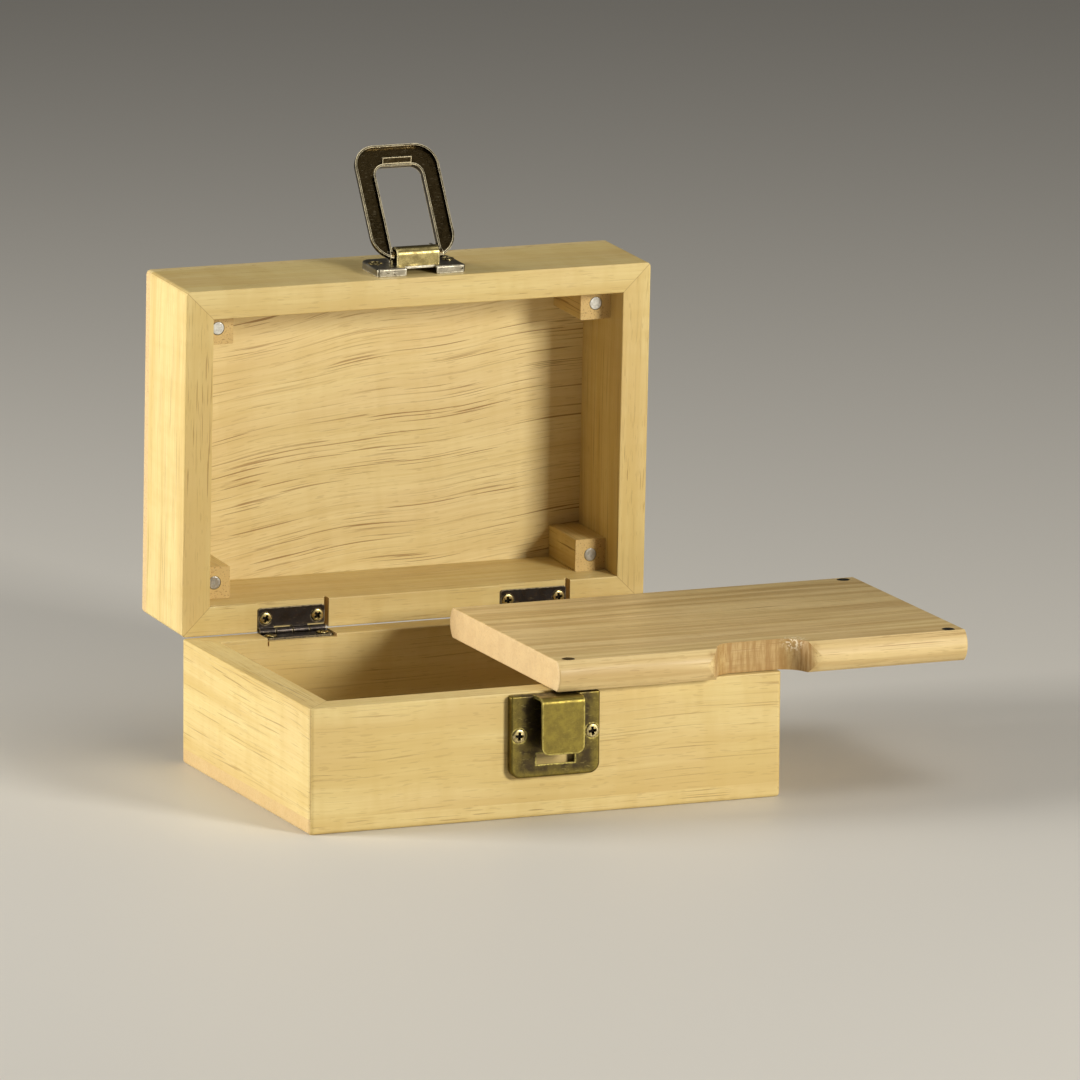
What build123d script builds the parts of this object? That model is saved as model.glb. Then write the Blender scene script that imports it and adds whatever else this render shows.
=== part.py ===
from build123d import *
import os
from math import cos, radians, sin

os.makedirs("parts", exist_ok=True)

# A hinged wooden box, modelled open. The origin is the centre of the box's underside,
# +X runs along its width to the right, +Y to the hinges at the back and +Z up.
# All sizes are in millimetres.

# Box and lid
box_width = 160.0
box_depth = 113.0
box_height = 40.5
lid_height = 38.0
wall = 9.5  # thickness of the walls of both frames
cover_board = 5.0  # thickness of the bottom board and of the lid's panel
corner_radius = 1.5  # upright outer corners
bottom_edge_radius = 1.2
lid_edge_radius = 1.8
rim_ease = 0.4
rim_gap = 0.3  # between the closed rims
lid_open_angle = 88.0

# Hinges
hinge_centres = (-42.4, 41.4)
leaf_width = 23.0
leaf_length = 7.6  # from the pin's axis
leaf_sheet = 0.6
leaf_corner = 1.0
barrel_radius = 1.2
pin_radius = 0.55
pin_play = 0.05
barrel_clearance = 0.3
knuckle_count = 4
knuckle_gap = 0.2
hinge_screw_spacing = 17.7
hinge_screw_offset = 4.2  # from the pin's axis
box_mortise_width = 23.8
lid_mortise_width = 24.6
kerf_width = 1.3
kerf_depth = 2.0
overcut_width = 0.5
overcut_depth = 1.5

# Screws
hinge_head_radius = 2.05
plate_head_radius = 2.25
screw_shank_radius = 1.0
screw_pilot_radius = 0.8
head_land = 0.12
head_dome = 0.45
hinge_screw_length = 6.5
plate_screw_length = 8.6
head_clearance = 0.05
hinge_seat_radius = hinge_head_radius + head_clearance

# Catch on the box and hasp on the lid share a centre line a little right of the middle
latch_centre = 1.6
plate_sheet = 0.8
plate_width = 30.2
plate_screw_spacing = 24.8
far_corner = 3.4  # plate corners away from the seam
near_corner = 0.8  # plate corners beside the seam
press_radius = 0.7

catch_bottom = 13.4
catch_top = 39.9
catch_depth = 2.9
catch_screw_height = 27.1
window_width = 13.0
window_bottom = 17.5
window_top = 21.0
tongue_width = 14.4
tongue_tip = 21.7
tongue_reach = 9.4
tongue_sheet = 1.0
tongue_bend = 1.5
tongue_corner = 2.6

hasp_near = 3.1  # from the lid's rim
hasp_far = 19.6
hasp_depth = 2.7
hasp_screw_height = 12.4
notch_width = 10.4
notch_depth = 1.7
pivot_height = 8.8  # from the lid's rim
pivot_reach = 5.6  # off the lid's front wall
strap_width = 14.6
strap_sheet = 0.9
strap_half_span = 2.35
strap_top = 7.95
strap_bend = 1.8
ear_offset = 7.2
ear_sheet = 0.9
ear_near = 12.0
ear_far = 14.4
ear_top = 7.8

# Ring
ring_lean = 35.5  # past square to the lid's front wall
ring_width = 28.8
ring_length = 38.3  # beyond its bar's axis
ring_opening = 16.2
ring_opening_end = 31.0
ring_depth = 2.2
ring_bar_radius = 1.5
ring_top_corner = 7.5
ring_bottom_corner = 8.5
ring_opening_corner = 3.4
ring_rim = 0.65
ring_groove_depth = 1.2
ring_outer_round = 1.0
lip_width = 10.0
lip_rise = 2.2
lip_sheet = 0.9

# Corner posts and magnets
post_size = 10.5
post_setback = 10.2  # from the lid's rim
post_ease = 0.4
magnet_radius = 2.1
magnet_length = 3.0
magnet_gap = 0.1

# Removable board, lying across the front and right of the box's rim
board_length = 140.2
board_depth = 92.6
board_thickness = 9.9
board_centre = (71.2, -17.3)
board_lift = 0.2  # its clearance over the rim
board_edge_bulge = 2.4
board_end_ease = 0.5
finger_notch_width = 33.0
finger_notch_inner_width = 26.0
finger_notch_depth = 9.5
finger_notch_shoulder = 5.0
finger_notch_corner = 8.0

# Derived sizes
opening_width = box_width - 2 * wall
opening_depth = box_depth - 2 * wall
box_wall_height = box_height - cover_board
lid_wall_height = lid_height - cover_board
hinge_y = box_depth / 2
hinge_z = box_height + rim_gap / 2
sides = ("front", "back", "left", "right")
hinge_names = ("left", "right")

# The lid's frame: x along the width, y to the back and z up when the lid is closed,
# with its origin on the hinge axis
lid_up = (0, sin(radians(lid_open_angle)), cos(radians(lid_open_angle)))
lid_frame = Plane(origin=(0, hinge_y, hinge_z), x_dir=(1, 0, 0), z_dir=lid_up)


def lid_plane(x, y, height):
    """Plane parallel to the lid's rim, at a height over the rim."""
    origin = lid_frame.from_local_coords((x, y, rim_gap / 2 + height))
    return Plane(origin=origin, x_dir=(1, 0, 0), z_dir=lid_up)


def side_plane(plane, x):
    """Plane across another's x, with its own x and y along that plane's y and z."""
    return Plane(origin=plane.from_local_coords((x, 0, 0)), x_dir=plane.y_dir, z_dir=plane.x_dir)


def moved_plane(plane, x, y, z=0.0):
    """Copy of a plane, moved in its own directions."""
    return Plane(origin=plane.from_local_coords((x, y, z)), x_dir=plane.x_dir, z_dir=plane.z_dir)


# Each leaf's frame: x along the pin, y away from the pin and z into the wood
box_leaf_planes = [
    Plane(origin=(x, hinge_y, hinge_z), x_dir=(1, 0, 0), z_dir=(0, 0, -1)) for x in hinge_centres
]
lid_leaf_planes = [
    Plane(origin=lid_frame.from_local_coords((x, 0, 0)), x_dir=(-1, 0, 0), z_dir=lid_up)
    for x in hinge_centres
]

# Both plates' frames: x along the width, y up when the lid is closed and z out of the wood
catch_plane = Plane(origin=(latch_centre, -box_depth / 2, 0), x_dir=(1, 0, 0), z_dir=(0, -1, 0))
hasp_origin = lid_frame.from_local_coords((latch_centre, -box_depth, rim_gap / 2))
hasp_plane = Plane(origin=hasp_origin, x_dir=(1, 0, 0), z_dir=lid_frame.y_dir * -1)

# The ring's frame at rest: x along its bar, y up its length and z towards the face
# that meets the box when it is latched
pivot = hasp_plane.from_local_coords((0, pivot_height, pivot_reach))
ring_up = hasp_plane.y_dir * sin(radians(ring_lean)) + hasp_plane.z_dir * cos(radians(ring_lean))
ring_plane = Plane(origin=pivot, x_dir=(1, 0, 0), z_dir=hasp_plane.x_dir.cross(ring_up))


# ---- Wooden frames ----


def wedge_points(side):
    """Outline that keeps one side of a frame, cut at 45 degrees through its corners."""
    far_x = box_width / 2 + 1
    far_y = box_depth / 2 + 1
    near_x = opening_width / 2 - 1
    near_y = opening_depth / 2 - 1
    across = [(-far_x, -far_y), (far_x, -far_y), (near_x, -near_y), (-near_x, -near_y)]
    along = [(-far_x, -far_y), (-near_x, -near_y), (-near_x, near_y), (-far_x, far_y)]
    outlines = {
        "front": across,
        "back": [(x, -y) for x, y in across],
        "left": along,
        "right": [(-x, y) for x, y in along],
    }
    return outlines[side]


def add_mitred_wall(side, base, height, rim_at_top):
    """One wall of a frame that stands on the base plane, with its rim edges eased."""
    with BuildSketch(base) as footprint:
        RectangleRounded(box_width, box_depth, corner_radius)
        Rectangle(opening_width, opening_depth, mode=Mode.SUBTRACT)
    frame = extrude(footprint.sketch, amount=height)
    levels = frame.faces().sort_by(Axis(base.origin, base.z_dir))
    rim = levels[-1] if rim_at_top else levels[0]
    fillet(rim.edges(), radius=rim_ease)
    with BuildSketch(base) as wedge:
        Polygon(*wedge_points(side), align=None)
    extrude(wedge.sketch, amount=height, mode=Mode.INTERSECT)


def cut_hinge_seat(leaf_plane, seat_width, seat_shift):
    """Mortise for a leaf, open to both faces of the wall, with room for the barrel."""
    with BuildSketch(leaf_plane) as seat:
        with Locations((seat_shift, wall / 2)):
            Rectangle(seat_width, wall + 4)
    extrude(seat.sketch, amount=barrel_radius, mode=Mode.SUBTRACT)
    with BuildSketch(side_plane(leaf_plane, seat_shift - seat_width / 2)) as barrel_room:
        Circle(barrel_radius + barrel_clearance)
    extrude(barrel_room.sketch, amount=seat_width, mode=Mode.SUBTRACT)


def screw_planes_on_leaf(leaf_plane):
    """Planes at a leaf's two screws, on its open side and facing out of the wood."""
    planes = []
    for x in (-hinge_screw_spacing / 2, hinge_screw_spacing / 2):
        origin = leaf_plane.from_local_coords((x, hinge_screw_offset, barrel_radius - leaf_sheet))
        planes.append(Plane(origin=origin, x_dir=leaf_plane.x_dir, z_dir=leaf_plane.z_dir * -1))
    return planes


def screw_planes_on_plate(plate_plane, height, depth):
    """Planes at a latch plate's two screws, on its outer face."""
    half = plate_screw_spacing / 2
    return [moved_plane(plate_plane, x, height, depth) for x in (-half, half)]


catch_screw_planes = screw_planes_on_plate(catch_plane, catch_screw_height, catch_depth)
hasp_screw_planes = screw_planes_on_plate(hasp_plane, hasp_screw_height, hasp_depth)

with BuildPart() as bottom_board:
    with BuildSketch():
        RectangleRounded(box_width, box_depth, corner_radius)
    extrude(amount=cover_board)
    fillet(bottom_board.faces().sort_by(Axis.Z)[0].edges(), radius=bottom_edge_radius)
bottom_board.part.label = "bottom_board"
export_step(bottom_board.part, "parts/bottom_board.step")

for side in sides:
    with BuildPart() as box_wall:
        add_mitred_wall(side, Plane.XY.offset(cover_board), box_wall_height, rim_at_top=True)
        if side == "back":
            for leaf_plane in box_leaf_planes:
                cut_hinge_seat(leaf_plane, box_mortise_width, 0)
                # the saw ran a little past the mortise's left front corner
                overcut_x = (overcut_width - box_mortise_width) / 2
                with BuildSketch(moved_plane(leaf_plane, overcut_x, wall, barrel_radius)):
                    Rectangle(overcut_width, 2 * overcut_depth)
                extrude(amount=overcut_depth, mode=Mode.SUBTRACT)
                with Locations(*screw_planes_on_leaf(leaf_plane)):
                    CounterSinkHole(screw_pilot_radius, hinge_seat_radius, hinge_screw_length, 90)
        if side == "front":
            with Locations(*catch_screw_planes):
                Hole(screw_pilot_radius, plate_screw_length)
    box_wall.part.label = f"box_{side}_wall"
    export_step(box_wall.part, f"parts/box_{side}_wall.step")

with BuildPart() as lid_panel:
    with BuildSketch(lid_plane(0, -box_depth / 2, lid_wall_height)):
        RectangleRounded(box_width, box_depth, corner_radius)
    extrude(amount=cover_board)
    panel_top = lid_panel.faces().sort_by(Axis(lid_frame.origin, lid_frame.z_dir))[-1]
    fillet(panel_top.edges(), radius=lid_edge_radius)
lid_panel.part.label = "lid_panel"
export_step(lid_panel.part, "parts/lid_panel.step")

for side in sides:
    with BuildPart() as lid_wall:
        add_mitred_wall(side, lid_plane(0, -box_depth / 2, 0), lid_wall_height, rim_at_top=False)
        if side == "back":
            seat_shift = (box_mortise_width - lid_mortise_width) / 2
            kerf_x = seat_shift - (lid_mortise_width - kerf_width) / 2
            for leaf_plane in lid_leaf_planes:
                cut_hinge_seat(leaf_plane, lid_mortise_width, seat_shift)
                # a saw kerf runs right across the wall at the mortise's right end
                with BuildSketch(leaf_plane):
                    with Locations((kerf_x, wall / 2)):
                        Rectangle(kerf_width, wall + 4)
                extrude(amount=barrel_radius + kerf_depth, mode=Mode.SUBTRACT)
                with Locations(*screw_planes_on_leaf(leaf_plane)):
                    CounterSinkHole(screw_pilot_radius, hinge_seat_radius, hinge_screw_length, 90)
        if side == "front":
            with Locations(*hasp_screw_planes):
                Hole(screw_pilot_radius, plate_screw_length)
    lid_wall.part.label = f"lid_{side}_wall"
    export_step(lid_wall.part, f"parts/lid_{side}_wall.step")


# ---- Corner posts and their magnets ----

post_x = (opening_width - post_size) / 2
post_places = {
    "front_left": (-post_x, wall + post_size / 2 - box_depth),
    "front_right": (post_x, wall + post_size / 2 - box_depth),
    "back_left": (-post_x, -wall - post_size / 2),
    "back_right": (post_x, -wall - post_size / 2),
}
for corner, (x, y) in post_places.items():
    end_plane = lid_plane(x, y, post_setback)
    with BuildPart() as lid_post:
        with BuildSketch(end_plane):
            RectangleRounded(post_size, post_size, post_ease)
        extrude(amount=lid_wall_height - post_setback)
        with BuildSketch(end_plane):
            Circle(magnet_radius + magnet_gap)
        extrude(amount=magnet_length, mode=Mode.SUBTRACT)
    lid_post.part.label = f"lid_post_{corner}"
    export_step(lid_post.part, f"parts/lid_post_{corner}.step")

    with BuildPart() as lid_magnet:
        with BuildSketch(end_plane):
            Circle(magnet_radius)
        extrude(amount=magnet_length)
        fillet(lid_magnet.edges(), radius=0.2)
    lid_magnet.part.label = f"lid_magnet_{corner}"
    export_step(lid_magnet.part, f"parts/lid_magnet_{corner}.step")


# ---- Removable board and its magnets ----

board_x, board_y = board_centre
board_bottom = box_height + board_lift
board_top = board_bottom + board_thickness
board_front = board_y - board_depth / 2
board_back = board_y + board_depth / 2
board_middle = (board_bottom + board_top) / 2
board_left = board_x - board_length / 2
magnet_inset = (post_size - (opening_width - board_length)) / 2
board_magnet_x = board_length / 2 - magnet_inset
board_magnet_y = board_depth / 2 - magnet_inset
board_magnet_places = {
    "front_left": (board_x - board_magnet_x, board_y - board_magnet_y),
    "front_right": (board_x + board_magnet_x, board_y - board_magnet_y),
    "back_right": (board_x + board_magnet_x, board_y + board_magnet_y),
}
notch_half = finger_notch_width / 2
notch_inner_half = finger_notch_inner_width / 2
notch_floor = board_front + finger_notch_depth
notch_reach = notch_half + 2 * finger_notch_shoulder
flat_front = board_front + board_edge_bulge
flat_back = board_back - board_edge_bulge

with BuildPart() as compartment_board:
    with BuildSketch(Plane.YZ.offset(board_left)):
        with BuildLine():
            Line((flat_front, board_bottom), (flat_back, board_bottom))
            ThreePointArc((flat_back, board_bottom), (board_back, board_middle), (flat_back, board_top))
            Line((flat_back, board_top), (flat_front, board_top))
            ThreePointArc((flat_front, board_top), (board_front, board_middle), (flat_front, board_bottom))
        make_face()
    extrude(amount=board_length)
    end_faces = compartment_board.faces().sort_by(Axis.X)
    fillet(end_faces[0].edges() + end_faces[-1].edges(), radius=board_end_ease)
    # the notch has sloping sides, rounded where they meet its floor and the board's edge
    with BuildSketch(Plane.XY.offset(board_bottom - 1)) as finger_notch:
        with BuildLine():
            Polyline(
                (board_x - notch_reach, board_front - finger_notch_depth),
                (board_x - notch_reach, board_front),
                (board_x - notch_half, board_front),
                (board_x - notch_inner_half, notch_floor),
                (board_x + notch_inner_half, notch_floor),
                (board_x + notch_half, board_front),
                (board_x + notch_reach, board_front),
                (board_x + notch_reach, board_front - finger_notch_depth),
                close=True,
            )
        make_face()
        corners = finger_notch.vertices().filter_by_position(Axis.Y, notch_floor - 1, notch_floor + 1)
        fillet(corners, radius=finger_notch_corner)
        shoulder_span = (board_x - notch_half - 1, board_x + notch_half + 1)
        edge_points = finger_notch.vertices().filter_by_position(Axis.Y, board_front - 0.1, board_front + 0.1)
        fillet(edge_points.filter_by_position(Axis.X, *shoulder_span), radius=finger_notch_shoulder)
    extrude(amount=board_thickness + 2, mode=Mode.SUBTRACT)
    with BuildSketch(Plane.XY.offset(board_top)):
        with Locations(*board_magnet_places.values()):
            Circle(magnet_radius + magnet_gap)
    extrude(amount=-magnet_length, mode=Mode.SUBTRACT)
compartment_board.part.label = "compartment_board"
export_step(compartment_board.part, "parts/compartment_board.step")

for corner, place in board_magnet_places.items():
    with BuildPart() as board_magnet:
        with BuildSketch(Plane.XY.offset(board_top)):
            with Locations(place):
                Circle(magnet_radius)
        extrude(amount=-magnet_length)
        fillet(board_magnet.edges(), radius=0.2)
    board_magnet.part.label = f"board_magnet_{corner}"
    export_step(board_magnet.part, f"parts/board_magnet_{corner}.step")


# ---- Hinges ----

knuckle_pitch = leaf_width / knuckle_count
sheet_start = barrel_radius + barrel_clearance


def add_leaf(leaf_plane):
    """Flat leaf with a knuckle at every second place along the pin."""
    with BuildSketch(moved_plane(leaf_plane, 0, 0, barrel_radius - leaf_sheet)) as sheet:
        with Locations((0, (sheet_start + leaf_length) / 2)):
            Rectangle(leaf_width, leaf_length - sheet_start)
        fillet(sheet.vertices().group_by(Axis.Y)[-1], radius=leaf_corner)
    extrude(sheet.sketch, amount=leaf_sheet)
    for index in range(1, knuckle_count, 2):
        start = index * knuckle_pitch - leaf_width / 2 + knuckle_gap / 2
        with BuildSketch(side_plane(leaf_plane, start)) as knuckle:
            Circle(barrel_radius)
            with Locations((sheet_start / 2 + 0.1, barrel_radius - leaf_sheet / 2)):
                Rectangle(sheet_start + 0.2, leaf_sheet)
            Circle(pin_radius + pin_play, mode=Mode.SUBTRACT)
        extrude(knuckle.sketch, amount=knuckle_pitch - knuckle_gap)
    with Locations(*screw_planes_on_leaf(leaf_plane)):
        CounterSinkHole(screw_shank_radius, hinge_seat_radius, leaf_sheet * 2, 90)


for name, box_leaf_plane, lid_leaf_plane in zip(hinge_names, box_leaf_planes, lid_leaf_planes):
    with BuildPart() as box_leaf:
        add_leaf(box_leaf_plane)
    box_leaf.part.label = f"{name}_hinge_box_leaf"
    export_step(box_leaf.part, f"parts/{name}_hinge_box_leaf.step")

    with BuildPart() as lid_leaf:
        add_leaf(lid_leaf_plane)
    lid_leaf.part.label = f"{name}_hinge_lid_leaf"
    export_step(lid_leaf.part, f"parts/{name}_hinge_lid_leaf.step")

    with BuildPart() as hinge_pin:
        with BuildSketch(side_plane(box_leaf_plane, -leaf_width / 2)):
            Circle(pin_radius)
        extrude(amount=leaf_width)
        fillet(hinge_pin.edges(), radius=0.2)
    hinge_pin.part.label = f"{name}_hinge_pin"
    export_step(hinge_pin.part, f"parts/{name}_hinge_pin.step")


# ---- Screws ----


def add_screw(head_radius, length):
    """Countersunk cross-head screw, its head's rim at the origin and its tip down."""
    cone_depth = head_radius - screw_shank_radius
    with BuildSketch(Plane.XZ) as half_section:
        with BuildLine():
            Polyline(
                (0, head_land + head_dome),
                (0, -length),
                (screw_shank_radius, -length + 2 * screw_shank_radius),
                (screw_shank_radius, -cone_depth),
                (head_radius, 0),
                (head_radius, head_land),
            )
            RadiusArc(
                (head_radius, head_land),
                (0, head_land + head_dome),
                -(head_radius**2 + head_dome**2) / (2 * head_dome),
            )
        make_face()
    revolve(half_section.sketch, axis=Axis.Z)
    with BuildSketch(Plane.XY.offset(head_land + head_dome)) as cross:
        Rectangle(head_radius * 1.15, head_radius * 0.32)
        Rectangle(head_radius * 0.32, head_radius * 1.15)
    extrude(cross.sketch, amount=-head_radius * 0.55, mode=Mode.SUBTRACT)


with BuildPart() as hinge_screw:
    add_screw(hinge_head_radius, hinge_screw_length)

with BuildPart() as plate_screw:
    add_screw(plate_head_radius, plate_screw_length)

with BuildPart() as box_hinge_screws:
    for leaf_plane in box_leaf_planes:
        with Locations(*screw_planes_on_leaf(leaf_plane)):
            add(hinge_screw.part)
box_hinge_screws.part.label = "box_hinge_screws"
export_step(box_hinge_screws.part, "parts/box_hinge_screws.step")

with BuildPart() as lid_hinge_screws:
    for leaf_plane in lid_leaf_planes:
        with Locations(*screw_planes_on_leaf(leaf_plane)):
            add(hinge_screw.part)
lid_hinge_screws.part.label = "lid_hinge_screws"
export_step(lid_hinge_screws.part, "parts/lid_hinge_screws.step")

with BuildPart() as catch_screws:
    with Locations(*catch_screw_planes):
        add(plate_screw.part)
catch_screws.part.label = "catch_screws"
export_step(catch_screws.part, "parts/catch_screws.step")

with BuildPart() as hasp_screws:
    with Locations(*hasp_screw_planes):
        add(plate_screw.part)
hasp_screws.part.label = "hasp_screws"
export_step(hasp_screws.part, "parts/hasp_screws.step")


# ---- Catch plate and hasp ----


def add_pressed_plate(plane, bottom, top, depth, seam_at_top):
    """Shallow pressed pan that stands on the wood, open at the back."""
    bottom_corner = far_corner if seam_at_top else near_corner
    top_corner = near_corner if seam_at_top else far_corner
    middle = (bottom + top) / 2
    with BuildSketch(plane) as outline:
        with Locations((0, middle)):
            Rectangle(plate_width, top - bottom)
        fillet(outline.vertices().group_by(Axis.Y)[0], radius=bottom_corner)
        fillet(outline.vertices().group_by(Axis.Y)[-1], radius=top_corner)
    pan = extrude(outline.sketch, amount=depth)
    outer_face = pan.faces().sort_by(Axis(plane.origin, plane.z_dir))[-1]
    fillet(outer_face.edges(), radius=press_radius)
    with BuildSketch(plane) as hollow:
        with Locations((0, middle)):
            Rectangle(plate_width - 2 * plate_sheet, top - bottom - 2 * plate_sheet)
    extrude(hollow.sketch, amount=depth - plate_sheet, mode=Mode.SUBTRACT)


with BuildPart() as catch_plate:
    add_pressed_plate(catch_plane, catch_bottom, catch_top, catch_depth, seam_at_top=True)
    # the slot under the tongue's tip
    with BuildSketch(catch_plane):
        with Locations((0, (window_bottom + window_top) / 2)):
            Rectangle(window_width, window_top - window_bottom)
    extrude(amount=catch_depth + 1, mode=Mode.SUBTRACT)
    with Locations(*catch_screw_planes):
        CounterSinkHole(screw_shank_radius, plate_head_radius + head_clearance, catch_depth, 90)
    fold_height = catch_top - tongue_sheet / 2
    face_reach = tongue_reach - tongue_sheet / 2
    with BuildSketch(side_plane(catch_plane, -tongue_width / 2)):
        with BuildLine():
            FilletPolyline(
                (fold_height, catch_depth - plate_sheet),
                (fold_height, face_reach),
                (tongue_tip, face_reach),
                radius=tongue_bend,
            )
        trace(line_width=tongue_sheet)
    extrude(amount=tongue_width)
    tip_corners = (
        catch_plate.edges().filter_by(Axis.Y).filter_by_position(Axis.Z, tongue_tip - 0.1, tongue_tip + 0.1)
    )
    fillet(tip_corners, radius=tongue_corner)
catch_plate.part.label = "catch_plate"
export_step(catch_plate.part, "parts/catch_plate.step")

strap_feet = (pivot_height - strap_half_span, pivot_height + strap_half_span)

with BuildPart() as hasp_base_plate:
    add_pressed_plate(hasp_plane, hasp_near, hasp_far, hasp_depth, seam_at_top=False)
    with BuildSketch(hasp_plane):
        with Locations((0, hasp_near)):
            Rectangle(notch_width, 2 * notch_depth)
        with Locations(*[(0, foot) for foot in strap_feet]):
            Rectangle(strap_width + 0.1, strap_sheet + 0.1)
    extrude(amount=hasp_depth + 1, mode=Mode.SUBTRACT)
    with Locations(*hasp_screw_planes):
        CounterSinkHole(screw_shank_radius, plate_head_radius + head_clearance, hasp_depth, 90)
    with BuildSketch(moved_plane(hasp_plane, 0, 0, hasp_depth - plate_sheet)):
        with Locations((-ear_offset, (ear_near + ear_far) / 2), (ear_offset, (ear_near + ear_far) / 2)):
            Rectangle(ear_sheet, ear_far - ear_near)
    extrude(amount=ear_top - hasp_depth + plate_sheet)
hasp_base_plate.part.label = "hasp_base_plate"
export_step(hasp_base_plate.part, "parts/hasp_base_plate.step")

with BuildPart() as hasp_knuckle:
    with BuildSketch(side_plane(hasp_plane, -strap_width / 2)):
        with BuildLine():
            FilletPolyline(
                (strap_feet[0], hasp_depth - plate_sheet),
                (strap_feet[0], strap_top),
                (strap_feet[1], strap_top),
                (strap_feet[1], hasp_depth - plate_sheet),
                radius=strap_bend,
            )
        trace(line_width=strap_sheet)
    extrude(amount=strap_width)
hasp_knuckle.part.label = "hasp_knuckle"
export_step(hasp_knuckle.part, "parts/hasp_knuckle.step")

with BuildPart() as hasp_ring:
    ring_middle = (ring_length - ring_bar_radius) / 2
    with BuildSketch(moved_plane(ring_plane, 0, 0, -ring_depth / 2)) as ring_outline:
        with Locations((0, ring_middle)):
            Rectangle(ring_width, ring_length + ring_bar_radius)
        fillet(ring_outline.vertices().group_by(Axis.Y)[0], radius=ring_bottom_corner)
        fillet(ring_outline.vertices().group_by(Axis.Y)[-1], radius=ring_top_corner)
    ring_body = extrude(amount=ring_depth)
    ring_faces = ring_body.faces().sort_by(Axis(ring_plane.origin, ring_plane.z_dir))
    fillet(ring_faces[0].edges(), radius=ring_outer_round)
    with BuildSketch(moved_plane(ring_plane, 0, 0, ring_depth / 2)) as groove:
        with Locations((0, ring_middle)):
            Rectangle(ring_width - 2 * ring_rim, ring_length + ring_bar_radius - 2 * ring_rim)
        fillet(groove.vertices().group_by(Axis.Y)[0], radius=ring_bottom_corner - ring_rim)
        fillet(groove.vertices().group_by(Axis.Y)[-1], radius=ring_top_corner - ring_rim)
        with Locations((0, ring_opening_end / 2)):
            Rectangle(ring_opening + 2 * ring_rim, ring_opening_end + 2 * ring_rim, mode=Mode.SUBTRACT)
        island_end = ring_opening_end + ring_rim
        island_corners = groove.vertices().filter_by_position(Axis.Y, island_end - 0.1, island_end + 0.1)
        fillet(island_corners, radius=ring_opening_corner + ring_rim)
    extrude(amount=-ring_groove_depth, mode=Mode.SUBTRACT)
    opening_bottom = -2 * ring_bar_radius
    with BuildSketch(moved_plane(ring_plane, 0, 0, -ring_depth / 2)) as opening:
        with Locations((0, (ring_opening_end + opening_bottom) / 2)):
            Rectangle(ring_opening, ring_opening_end - opening_bottom)
        fillet(opening.vertices().group_by(Axis.Y)[-1], radius=ring_opening_corner)
    extrude(amount=ring_depth, mode=Mode.SUBTRACT)
    with BuildSketch(side_plane(ring_plane, -ring_opening / 2 - 1)):
        Circle(ring_bar_radius)
    extrude(amount=ring_opening + 2)
    with BuildSketch(side_plane(ring_plane, -lip_width / 2)):
        with BuildLine():
            Line((ring_opening_end + 0.3, 0), (ring_opening_end + 0.3 + lip_rise, lip_rise))
        trace(line_width=lip_sheet)
    extrude(amount=lip_width)
hasp_ring.part.label = "hasp_ring"
export_step(hasp_ring.part, "parts/hasp_ring.step")
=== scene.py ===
"""Looks of a hinged wooden box: mitred walls, a lid with magnets, an antique latch and a notched board."""

import logging
import math
from dataclasses import dataclass
from enum import Enum

import bmesh
import bpy
from mathutils import Matrix, Vector, kdtree


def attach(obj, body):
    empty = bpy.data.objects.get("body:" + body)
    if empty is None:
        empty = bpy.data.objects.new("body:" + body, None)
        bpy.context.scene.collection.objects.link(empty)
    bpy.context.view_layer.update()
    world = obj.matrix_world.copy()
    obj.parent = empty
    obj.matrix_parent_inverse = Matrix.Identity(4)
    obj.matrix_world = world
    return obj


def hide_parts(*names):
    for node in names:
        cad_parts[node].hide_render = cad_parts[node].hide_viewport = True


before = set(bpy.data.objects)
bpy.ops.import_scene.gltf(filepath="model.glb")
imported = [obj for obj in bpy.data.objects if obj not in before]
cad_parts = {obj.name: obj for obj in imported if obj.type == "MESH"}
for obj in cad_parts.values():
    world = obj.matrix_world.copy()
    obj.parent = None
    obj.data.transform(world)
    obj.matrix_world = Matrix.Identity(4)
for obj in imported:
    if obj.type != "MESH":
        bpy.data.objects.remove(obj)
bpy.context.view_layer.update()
LOG = logging.getLogger("wooden_box")

MM = 0.001
Triple = tuple[float, float, float]
Colour = Triple
Span = tuple[float, float]
Socket = bpy.types.NodeSocket

HALF_WIDTH, HALF_DEPTH = 80.0, 56.5  # of the closed box, in millimetres
HINGE_ORIGIN = Vector((0.0, HALF_DEPTH, 40.65))  # a point on the lid's hinge line, in millimetres
LID_OPEN = math.radians(88.0)
TREE_STEP = (137.3, 71.9, 53.7)  # millimetres between the parts of the tree that two seeds pick
GLUE_EDGE = (0.06, 0.22)  # where the glue line fades, in millimetres from the mitre
MERGE_DISTANCE = 2e-6  # corners closer than this, in metres, are one corner
FLAT_TURN = math.radians(0.6)  # faces that turn by less are one flat face
EASED_TURN = math.radians(32.0)  # edges that turn by more are eased and rubbed
SHARP_TURN = math.radians(50.0)  # edges that turn by more keep their crease
WEAR_STEP = 0.25 * MM  # between the points that mark a rubbed edge
CROWN_DEPTH = 0.06 * MM  # the part of a screw's head that marks its middle
CORNERS = ("front_left", "front_right", "back_left", "back_right")
COLOUR_A, COLOUR_B, COLOUR_MIXED = 6, 7, 2  # a Mix node's sockets for colours


class Home(Enum):
    """Which sub-assembly a piece belongs to, and so which way its own axes lie."""

    BOX = "box"
    LID = "lid"

    def to_piece(self) -> Matrix:
        """Finds how the piece lies on the closed box.

        Returns:
            The turn and shift, in millimetres, from the row's axes to the closed piece's axes.
        """
        if self is Home.BOX:
            return Matrix.Identity(4)
        return Matrix.Rotation(LID_OPEN, 4, "X") @ Matrix.Translation(-HINGE_ORIGIN)


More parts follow.
